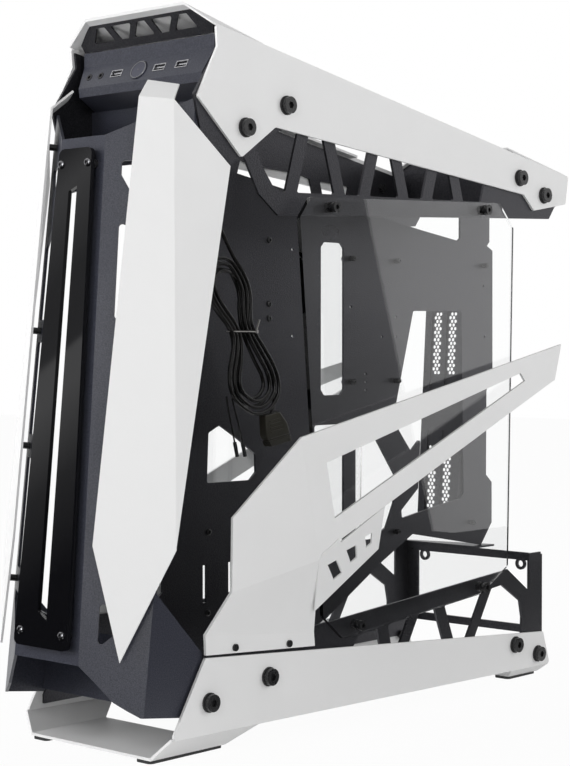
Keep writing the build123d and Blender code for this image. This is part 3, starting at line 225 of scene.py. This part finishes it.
plug_plastic = Finish("plug_plastic", (0.022, 0.020, 0.014), 0.34)
plug_plastic.rough(plug_plastic.noise(0.003), 0.28, 0.44)
plug_plastic.bump(plug_plastic.noise(0.0009), 0.00004)

jacket = Finish("cable_jacket", (0.005, 0.0045, 0.0045), 0.17)
jacket.rough(jacket.noise(0.006), 0.13, 0.22)
jacket.bump(jacket.noise(0.004), 0.00001)

tie_plastic = Finish("tie_plastic", (0.26, 0.25, 0.24), 0.3)
tie_plastic.rough(tie_plastic.noise(0.002), 0.22, 0.38)

finish_of_slot = {
    "white_coat": white_coat, "black_coat": black_coat, "slate_coat": slate_coat,
    "gloss_black": gloss_plate, "clear_glass": clear_glass(), "black_rubber": rubber,
    "black_steel": black_steel, "bright_steel": bright_steel, "port_metal": port_metal,
    "port_plastic": port_plastic, "button_metal": button_metal, "circuit_board": board_green,
    "cable_jacket": jacket, "tie_white": tie_plastic,
}
for part in frame["record"]["subparts"]:
    for material_slot in nodes[part["node"]].material_slots:
        material_slot.material = finish_of_slot[part["material_slot"]].material


# Small tools for pieces
def mesh_object(name, shape, material):
    """Object made from a finished bmesh, in one material."""
    mesh = bpy.data.meshes.new(name)
    shape.to_mesh(mesh)
    shape.free()
    mesh.materials.append(material)
    made = bpy.data.objects.new(name, mesh)
    bpy.context.collection.objects.link(made)
    return made


def mesh_piece(name, shape, finish, body="frame"):
    """Piece made from a finished bmesh, which rides on a body."""
    bmesh.ops.recalc_face_normals(shape, faces=shape.faces[:])
    piece = mesh_object(name, shape, finish.material)
    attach(piece, body)
    return piece


def cord_piece(name, points, diameter):
    """Round cord on a smooth line through the pull of its points."""
    curve = bpy.data.curves.new(name, "CURVE")
    curve.dimensions = "3D"
    curve.bevel_depth = diameter / 2
    curve.bevel_resolution = 3
    curve.resolution_u = 6
    curve.use_fill_caps = True
    line = curve.splines.new("NURBS")
    line.points.add(len(points) - 1)
    for control, point in zip(line.points, points):
        control.co = (*point, 1.0)
    line.order_u = 3
    line.use_endpoint_u = True
    curve.materials.append(jacket.material)
    piece = bpy.data.objects.new(name, curve)
    bpy.context.collection.objects.link(piece)
    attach(piece, "frame")
    return piece


def cord_length(piece):
    """Length of a cord's line as it is drawn."""
    line = piece.copy()
    line.data = piece.data.copy()
    line.data.bevel_depth = 0.0
    bpy.context.collection.objects.link(line)
    bpy.context.view_layer.update()
    mesh = bpy.data.meshes.new_from_object(line)
    total = sum((mesh.vertices[a].co - mesh.vertices[b].co).length
                for a, b in (edge.vertices for edge in mesh.edges))
    bpy.data.objects.remove(line)
    return total


def axes_at(place, across, up):
    """Matrix that puts X along across, Y along up and Z out of the two, at a place."""
    across = Vector(across).normalized()
    up = Vector(up).normalized()
    out = across.cross(up).normalized()
    matrix = Matrix((across, up, out)).transposed().to_4x4()
    matrix.translation = Vector(place)
    return matrix


def leaning_face(lean):
    """Outward and upward directions of a face that looks forwards and leans back."""
    return (Vector((0, -math.cos(lean), math.sin(lean))),
            Vector((0, math.sin(lean), math.cos(lean))))


def block(shape, size, place=(0, 0, 0), lean=0.0):
    """Box of a size, turned about X by lean and moved to a place."""
    corners = bmesh.ops.create_cube(shape, size=1.0)["verts"]
    bmesh.ops.scale(shape, vec=size, verts=corners)
    bmesh.ops.rotate(shape, cent=(0, 0, 0), matrix=Matrix.Rotation(lean, 3, "X"), verts=corners)
    bmesh.ops.translate(shape, vec=place, verts=corners)


def slab(shape, outline, thickness, edge):
    """Flat block across X from an outline in Y and Z, in millimetres, with softened edges."""
    corners = bmesh.ops.create_circle(shape, cap_ends=True, segments=len(outline), radius=1.0)["verts"]
    for corner, (y, z) in zip(corners, outline):
        corner.co = Vector((-thickness / 2000, y / 1000, z / 1000))
    face = corners[0].link_faces[0]
    grown = bmesh.ops.extrude_face_region(shape, geom=[face], use_keep_orig=True)["geom"]
    far = [item for item in grown if isinstance(item, bmesh.types.BMVert)]
    bmesh.ops.translate(shape, vec=(thickness / 1000, 0, 0), verts=far)
    edges = {line for corner in list(corners) + far for line in corner.link_edges}
    bmesh.ops.bevel(shape, geom=list(edges), offset=edge / 1000, segments=2, profile=0.5,
                    affect="EDGES", material=-1)


def turned(shape, rings, matrix, segments=24, socket_rings=0):
    """Closed round solid along the matrix's Z from rings of radius and height.

    The last socket_rings rings get six sides, as a socket for a hexagon key.
    """
    (first_r, first_z), (second_r, second_z) = rings[:2]
    verts = bmesh.ops.create_cone(shape, cap_ends=True, segments=segments, radius1=first_r,
                                  radius2=second_r, depth=second_z - first_z)["verts"]
    bmesh.ops.translate(shape, vec=(0, 0, (first_z + second_z) / 2), verts=verts)
    top = max({face for vert in verts for face in vert.link_faces},
              key=lambda face: (len(face.verts), face.calc_center_median().z))
    for index, (radius, height) in enumerate(rings[2:], start=2):
        top = bmesh.ops.extrude_discrete_faces(shape, faces=[top])["faces"][0]
        for vert in top.verts:
            angle = math.atan2(vert.co.y, vert.co.x)
            reach = radius
            if index >= len(rings) - socket_rings:
                reach *= math.cos(math.pi / 6) / math.cos((angle % (math.pi / 3)) - math.pi / 6)
            vert.co = Vector((reach * math.cos(angle), reach * math.sin(angle), height))
            verts.append(vert)
    bmesh.ops.transform(shape, matrix=matrix, verts=verts)


# Front panel lead: down from the board behind the ports, wound in a hank, ending in its plug
lead_diameter = 0.0036
near_layer = 0.0470
far_layer = 0.0410
upper_lobe = (-147.0, 402.0)
neck = (-128.5, 367.0)
lower_lobe = (-113.0, 322.0)
one_turn = [
    (upper_lobe, [(-130.2, 424.9), (-120.9, 411.4), (-116.9, 396.0), (-118.3, 379.4)]),
    (neck, [(-114.2, 368.5)]),
    (lower_lobe, [(-100.7, 354.7), (-82.9, 333.2), (-77.3, 314.5), (-81.5, 303.4), (-92.5, 292.5),
                  (-110.2, 288.3), (-126.3, 293.4), (-140.9, 302.9), (-148.8, 313.9),
                  (-150.0, 332.1), (-144.8, 350.1)]),
    (neck, [(-142.2, 365.6)]),
    (upper_lobe, [(-165.5, 386.1), (-178.3, 403.8), (-182.0, 417.0), (-175.7, 428.8),
                  (-162.9, 435.5), (-146.0, 434.3)]),
]


def turn_points(upper_share, neck_share, lower_share, layer):
    """One turn of the hank, drawn in towards the middles of its two lobes."""
    shares = {upper_lobe: upper_share, neck: neck_share, lower_lobe: lower_share}
    points = []
    for middle, outline in one_turn:
        for y, z in outline:
            points.append((layer, (middle[0] + shares[middle] * (y - middle[0])) / 1000,
                           (middle[1] + shares[middle] * (z - middle[1])) / 1000))
    return points


lead_exit = (0.0350, -0.1980, 0.5942)
lead_down = [lead_exit, (0.0350, -0.1768, 0.5830), (0.0370, -0.1720, 0.5480),
             (0.0400, -0.1720, 0.5050), (0.0430, -0.1630, 0.4720), (0.0455, -0.1500, 0.4480),
             (0.0470, -0.1410, 0.4330)]
whole_turns = [(0.94, 0.86, 0.94, near_layer), (0.79, 0.54, 0.77, near_layer),
               (0.60, 0.22, 0.58, near_layer), (0.64, 0.22, 0.50, far_layer),
               (0.82, 0.54, 0.74, far_layer)]
last_part_turn = turn_points(0.96, 0.86, 0.92, far_layer)[:8]
lead_end = [(0.0425, -0.0815, 0.3060), (0.0440, -0.0850, 0.2980), (0.0440, -0.0880, 0.2905)]
lead_points = (lead_down + [point for turn in whole_turns for point in turn_points(*turn)]
               + last_part_turn + lead_end)
front_lead = cord_piece("front_lead", lead_points, lead_diameter)
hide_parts("lead_bundle", "lead_hank")


# Thin leads that hang out of the hank, each with a slim two-pin housing
pin_lead_diameter = 0.0016
pin_lead_points = {
    "near": [(0.0460, -0.1430, 0.3060), (0.0460, -0.1385, 0.2940), (0.0460, -0.1335, 0.2805),
             (0.0460, -0.1294, 0.2660)],
    "far": [(0.0420, -0.1460, 0.3080), (0.0420, -0.1440, 0.2960), (0.0420, -0.1396, 0.2819),
            (0.0420, -0.1354, 0.2660)],
}
pin_plug_width = 0.0026
pin_plug_length = 0.0138
pin_groove_size = (0.0008, 0.0003, 0.0040)


def pin_plug(end, before):
    """Housing on the end of a lead, with a groove for each contact."""
    shape = bmesh.new()
    block(shape, (pin_plug_width, pin_plug_width, pin_plug_length))
    long_edges = [edge for edge in shape.edges if edge.calc_length() > 2 * pin_plug_width]
    bmesh.ops.bevel(shape, geom=long_edges, offset=0.0003, segments=2, profile=0.5, affect="EDGES",
                    material=-1)
    for side in (-1, 1):
        block(shape, pin_groove_size, (0.0006, side * 0.0014, -0.0020))
    along = (Vector(end) - Vector(before)).to_track_quat("Z", "X").to_matrix()
    bmesh.ops.translate(shape, vec=(0, 0, pin_plug_length / 2), verts=shape.verts[:])
    bmesh.ops.rotate(shape, cent=(0, 0, 0), matrix=along, verts=shape.verts[:])
    bmesh.ops.translate(shape, vec=end, verts=shape.verts[:])
    return shape


pin_leads = []
pin_plugs = []
for side_name, points in pin_lead_points.items():
    pin_leads.append(cord_piece("pin_lead_" + side_name, points, pin_lead_diameter))
    pin_plugs.append(mesh_piece("pin_plug_" + side_name, pin_plug(points[-1], points[-2]),
                                port_plastic))
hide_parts("lead_tails")
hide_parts("pin_plugs")


# Cable tie: a flat band round the neck of the hank, with its head and a cut tail
tie_place = (0.0440, -0.1287, 0.3670)
tie_half_x = 0.0068
tie_half_y = 0.0146
tie_squareness = 0.55
tie_width = 0.0010
tie_thickness = 0.0008


def tie_reach(share, half):
    """Reach of the band along one axis, where share is the angle's sine or cosine."""
    return half * math.copysign(abs(share) ** tie_squareness, share)


def cable_tie():
    shape = bmesh.new()
    for vert in bmesh.ops.create_circle(shape, segments=48, radius=1.0)["verts"]:
        angle = math.atan2(vert.co.y, vert.co.x)
        vert.co = Vector((tie_reach(math.cos(angle), tie_half_x), tie_reach(math.sin(angle), tie_half_y),
                          -tie_width / 2))
    grown = bmesh.ops.extrude_edge_only(shape, edges=shape.edges[:])["geom"]
    bmesh.ops.translate(shape, vec=(0, 0, tie_width),
                        verts=[item for item in grown if isinstance(item, bmesh.types.BMVert)])
    bmesh.ops.recalc_face_normals(shape, faces=shape.faces[:])
    bmesh.ops.solidify(shape, geom=shape.faces[:], thickness=-tie_thickness)
    block(shape, (0.0030, 0.0024, 0.0030), (0.0050, 0.0152, 0.0))
    block(shape, (0.0018, 0.0009, 0.0110), (0.0050, 0.0170, 0.0060), lean=math.radians(-24))
    bmesh.ops.translate(shape, vec=tie_place, verts=shape.verts[:])
    return shape


tie = mesh_piece("lead_tie_band", cable_tie(), tie_plastic)
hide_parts("lead_tie")


# Plug of the front lead: flat body, connector block under a groove, ribs for the fingers
plug_x = 0.0440
plug_corner = Vector((0, -92.5, 259.9))
plug_turn = math.radians(9.404)
plug_along = Vector((0, math.cos(plug_turn), math.sin(plug_turn)))
plug_up = Vector((0, -math.sin(plug_turn), math.cos(plug_turn)))
connector_outline = [(0.2, 0.3), (28.2, 0.3), (27.7, 6.0), (-2.7, 6.0)]
groove_outline = [(-1.6, 5.6), (26.8, 5.6), (26.6, 7.8), (-2.6, 7.8)]
body_outline = [(-3.6, 7.4), (27.6, 7.4), (26.0, 17.8), (17.0, 30.5), (-3.2, 30.5), (-5.0, 11.6)]
rib_start = 1.5
rib_end = 19.5
rib_taper = 1.1
rib_low = 13.0
rib_pitch = 3.4
rib_width = 1.5


def plug_points(outline):
    """Points given along and up from the plug's lower corner, as Y and Z."""
    return [tuple(plug_corner + plug_along * u + plug_up * v)[1:] for u, v in outline]


def lead_plug_body():
    shape = bmesh.new()
    slab(shape, plug_points(connector_outline), 9.6, 0.5)
    slab(shape, plug_points(groove_outline), 7.4, 0.3)
    slab(shape, plug_points(body_outline), 8.8, 1.0)
    for rib in range(4):
        low = rib_low + rib_pitch * rib
        high = low + rib_width
        end = rib_end - rib_taper * rib
        slab(shape, plug_points([(rib_start, low), (end, low), (end, high), (rib_start, high)]), 9.8, 0.25)
    bmesh.ops.translate(shape, vec=(plug_x, 0, 0), verts=shape.verts[:])
    return shape


lead_plug = mesh_piece("lead_plug_housing", lead_plug_body(), plug_plastic)
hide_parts("lead_plug")


# Front plate's screws: domed heads with a six-sided recess, on shanks with thin nuts behind
plate_normal, plate_up = leaning_face(math.radians(5.6154))
column_top = Vector((0, -0.2805, 0.5345))
plate_stand = 0.008
plate_screws_at = [(0.0170, 0.0245), (0.0265, 0.4270)]
plate_screw_rings = [(0.0032, -0.0123), (0.0032, -0.0106), (0.0015, -0.0105), (0.0015, 0.0),
                     (0.0037, 0.0), (0.0037, 0.0005), (0.0034, 0.0013), (0.0027, 0.0019),
                     (0.0019, 0.00215), (0.0014, 0.0021), (0.0014, 0.0007)]


def plate_screw_heads():
    shape = bmesh.new()
    for x, down in plate_screws_at:
        for side in (-1, 1):
            place = column_top + plate_normal * plate_stand + Vector((side * x, 0, 0)) - plate_up * down
            turned(shape, plate_screw_rings, axes_at(place, (1, 0, 0), plate_up), socket_rings=2)
    return shape


plate_screws = mesh_piece("front_plate_dome_screws", plate_screw_heads(), dark_chrome)
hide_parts("front_plate_screws")


# Screws of the board tray: low domed heads with a socket
tray_half = 0.00125
tray_screws_at = [(-0.0445, 0.4557), (-0.0445, 0.3942), (-0.0445, 0.3802), (-0.1280, 0.1806),
                  (-0.1295, 0.1051)]
tray_screw_rings = [(0.0015, -0.0030), (0.0015, 0.0), (0.0032, 0.0), (0.0032, 0.0006),
                    (0.0029, 0.0013), (0.0021, 0.0017), (0.0013, 0.00175), (0.0013, 0.0006)]


def on_tray(y, z):
    """Axes of a round piece that stands out from the tray's near face."""
    return axes_at((tray_half, y, z), (0, 1, 0), (0, 0, 1))


def tray_screw_heads():
    shape = bmesh.new()
    for y, z in tray_screws_at:
        turned(shape, tray_screw_rings, on_tray(y, z), socket_rings=2)
    return shape


tray_heads = mesh_piece("tray_dome_screws", tray_screw_heads(), black_steel)
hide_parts("tray_screws")


# Six-sided black standoffs on the tray's near side, one at each hole of the board's pattern
board_front = 0.07450
board_top = 0.44200
board_middle_column = 0.07239
board_rear_column = 0.22733
board_low_rear_inset = 0.02286
board_middle_row = 0.12446
board_low_row = 0.28194
board_rows = [(0.0, board_rear_column), (board_middle_row, board_rear_column),
              (board_low_row, board_rear_column - board_low_rear_inset)]
standoff_rings = [(0.0027, 0.0), (0.0027, 0.0070), (0.0024, 0.0075), (0.0014, 0.0075), (0.0014, 0.0040)]


def near_standoffs():
    shape = bmesh.new()
    for down, rear_column in board_rows:
        for back in (0.0, board_middle_column, rear_column):
            turned(shape, standoff_rings, on_tray(board_front + back, board_top - down), segments=6)
    return shape


mesh_piece("tray_near_standoffs", near_standoffs(), black_steel)


# Power button: a bright line round the cap and a small pilot lamp at its middle
panel_normal, panel_up = leaning_face(math.radians(27.9853))
button_middle = Vector((-0.0049, -0.2100, 0.60065))
button_stand = 0.0010
button_line_rings = [(0.0092, -0.0003), (0.0092, 0.00005), (0.0090, 0.00025), (0.0082, 0.00025),
                     (0.0081, -0.0002)]
pilot_rings = [(0.0009, -0.0006), (0.0009, 0.0001), (0.0006, 0.00025)]


def button_mark():
    shape = bmesh.new()
    cap = axes_at(button_middle + panel_normal * button_stand, (1, 0, 0), panel_up)
    turned(shape, button_line_rings, cap, segments=64)
    turned(shape, pilot_rings, cap)
    return shape


mesh_piece("power_button_mark", button_mark(), dark_chrome, "power_button")


# Drawn length of each cord is worked out
cord_length(front_lead)
for pin_lead, plug in zip(pin_leads, pin_plugs):
    cord_length(pin_lead)


# Floor that reads nearly white to the camera and keeps the shadow under the frame
floor_half = 6.0
floor_gap = 0.0005
floor_white_share = 0.96


def floor_material():
    material = bpy.data.materials.new("studio_floor")
    material.use_nodes = True
    tree = material.node_tree
    shader = tree.nodes["Principled BSDF"]
    shader.inputs["Base Color"].default_value = (0.80, 0.80, 0.80, 1.0)
    shader.inputs["Roughness"].default_value = 0.7
    white = tree.nodes.new("ShaderNodeEmission")
    share = joined(tree, "MULTIPLY", seen_rays(tree), floor_white_share)
    show_mixed(tree, share, shader.outputs["BSDF"], white.outputs["Emission"])
    return material


floor_shape = bmesh.new()
bmesh.ops.create_grid(floor_shape, x_segments=1, y_segments=1, size=floor_half)
floor = mesh_object("floor", floor_shape, floor_material())
floor.location = (0, 0, -floor_gap)


# World: white where it is seen, and a plain dim light on the object
def surroundings(tree, strength):
    """White surroundings of a strength."""
    background = tree.nodes.new("ShaderNodeBackground")
    background.inputs["Color"].default_value = (1.0, 1.0, 1.0, 1.0)
    background.inputs["Strength"].default_value = strength
    return background.outputs["Background"]


world = bpy.data.worlds.new("studio")
world.use_nodes = True
world_tree = world.node_tree
world_tree.nodes.remove(world_tree.nodes["Background"])
show_mixed(world_tree, seen_rays(world_tree), surroundings(world_tree, 0.30),
           surroundings(world_tree, 1.0), "World Output")
bpy.context.scene.world = world


# Lamps
def soft_box(name, place, aim, size, power, glints=False):
    """Rectangular lamp, hidden from the camera, whose own reflection shows only where it gives glints."""
    data = bpy.data.lights.new(name, "AREA")
    data.shape = "RECTANGLE"
    data.size, data.size_y = size
    data.energy = power
    lamp = bpy.data.objects.new(name, data)
    lamp.location = place
    lamp.rotation_euler = (Vector(aim) - Vector(place)).to_track_quat("-Z", "Y").to_euler()
    lamp.visible_camera = False
    lamp.visible_glossy = glints
    lamp.visible_transmission = glints
    bpy.context.collection.objects.link(lamp)


middle = (0, 0, 0.3)
soft_box("key_light", (-1.4, -2.5, 1.3), middle, (1.8, 1.8), 66.0)
soft_box("side_light", (2.5, 1.4, 1.0), middle, (1.5, 1.8), 27.0)
soft_box("front_light", (1.2, -2.4, 0.9), middle, (0.3, 1.8), 9.5, glints=True)
soft_box("glint_light", (2.2, -0.6, 0.7), (0, -0.1, 0.35), (0.08, 1.0), 6.0, glints=True)


# Dark cards beside and under the object, seen only in its reflections
def flag_material(name, matrix, levels):
    """Glow that goes through the levels along the matrix's Y, each a height and a strength."""
    material = bpy.data.materials.new(name)
    material.use_nodes = True
    tree = material.node_tree
    tree.nodes.remove(tree.nodes["Principled BSDF"])
    bottom, top = levels[0][0], levels[-1][0]
    along = matrix.inverted()[1]
    coordinates = tree.nodes.new("ShaderNodeTexCoord")
    height = tree.nodes.new("ShaderNodeVectorMath")
    height.operation = "DOT_PRODUCT"
    height.inputs[1].default_value = along[:3]
    spread = tree.nodes.new("ShaderNodeMapRange")
    spread.inputs["From Min"].default_value = bottom - along[3]
    spread.inputs["From Max"].default_value = top - along[3]
    ramp = tree.nodes.new("ShaderNodeValToRGB")
    for place, _ in levels[1:-1]:
        ramp.color_ramp.elements.new((place - bottom) / (top - bottom))
    for element, (_, strength) in zip(ramp.color_ramp.elements, levels):
        element.color = (strength, strength, strength, 1.0)
    glow = tree.nodes.new("ShaderNodeEmission")
    clear = tree.nodes.new("ShaderNodeBsdfTransparent")
    tree.links.new(coordinates.outputs["Object"], height.inputs[0])
    tree.links.new(height.outputs["Value"], spread.inputs["Value"])
    tree.links.new(spread.outputs["Result"], ramp.inputs["Fac"])
    tree.links.new(ramp.outputs["Color"], glow.inputs["Color"])
    path = tree.nodes.new("ShaderNodeLightPath").outputs
    mirrored = joined(tree, "GREATER_THAN", path["Glossy Depth"], 0.5)
    show_mixed(tree, mirrored, clear.outputs["BSDF"], glow.outputs["Emission"])
    return material


def flag(name, matrix, size, levels):
    """Card of a size along the matrix's X and Y; where the two lean, so does the card."""
    shape = bmesh.new()
    bmesh.ops.create_grid(shape, x_segments=1, y_segments=1, size=0.5)
    bmesh.ops.scale(shape, vec=(*size, 1.0), verts=shape.verts[:])
    bmesh.ops.transform(shape, matrix=matrix, verts=shape.verts[:])
    card = mesh_object(name, shape, flag_material(name, matrix, levels))
    card.visible_camera = False
    card.visible_diffuse = False
    card.visible_shadow = False
    card.visible_volume_scatter = False


side_levels = [(-0.28, 0.02), (-0.12, 0.03), (0.02, 0.16), (0.10, 0.12), (0.16, 0.20), (0.28, 0.16)]
low_levels = [(-0.05, 0.03), (0.05, 0.05)]
floor_levels = [(-0.75, 0.05), (0.75, 0.04)]
front_levels = [(-0.40, 0.02), (-0.28, 0.03), (-0.16, 0.25), (-0.05, 0.9), (-0.001, 0.9),
                (0.001, 0.28), (0.10, 0.28), (0.22, 0.65), (0.27, 0.25), (0.40, 0.2)]
flag("side_flag", axes_at((0.45, 0.012, 0.28), (0, 1, 0), (0, -0.33, 1.0)), (0.95, 0.59), side_levels)
flag("low_flag", axes_at((0.46, 0.75, 0.055), (0, 1, 0), (0, 0, 1)), (1.0, 0.10), low_levels)
flag("floor_flag_side", axes_at((0.95, 0.30, 0.002), (0, 1, 0), (-1, 0, 0)), (2.2, 1.5), floor_levels)
flag("floor_flag_front", axes_at((-0.55, -1.10, 0.002), (1, 0, 0), (0, 1, 0)), (2.4, 1.5), floor_levels)
flag("front_flag", axes_at((-0.693, -0.90, 0.463), (1, 0, 0.667), (-0.667, 0, 1)), (2.0, 0.80),
     front_levels)


bpy.context.scene.view_settings.view_transform = "Standard"

bpy.context.view_layer.update()
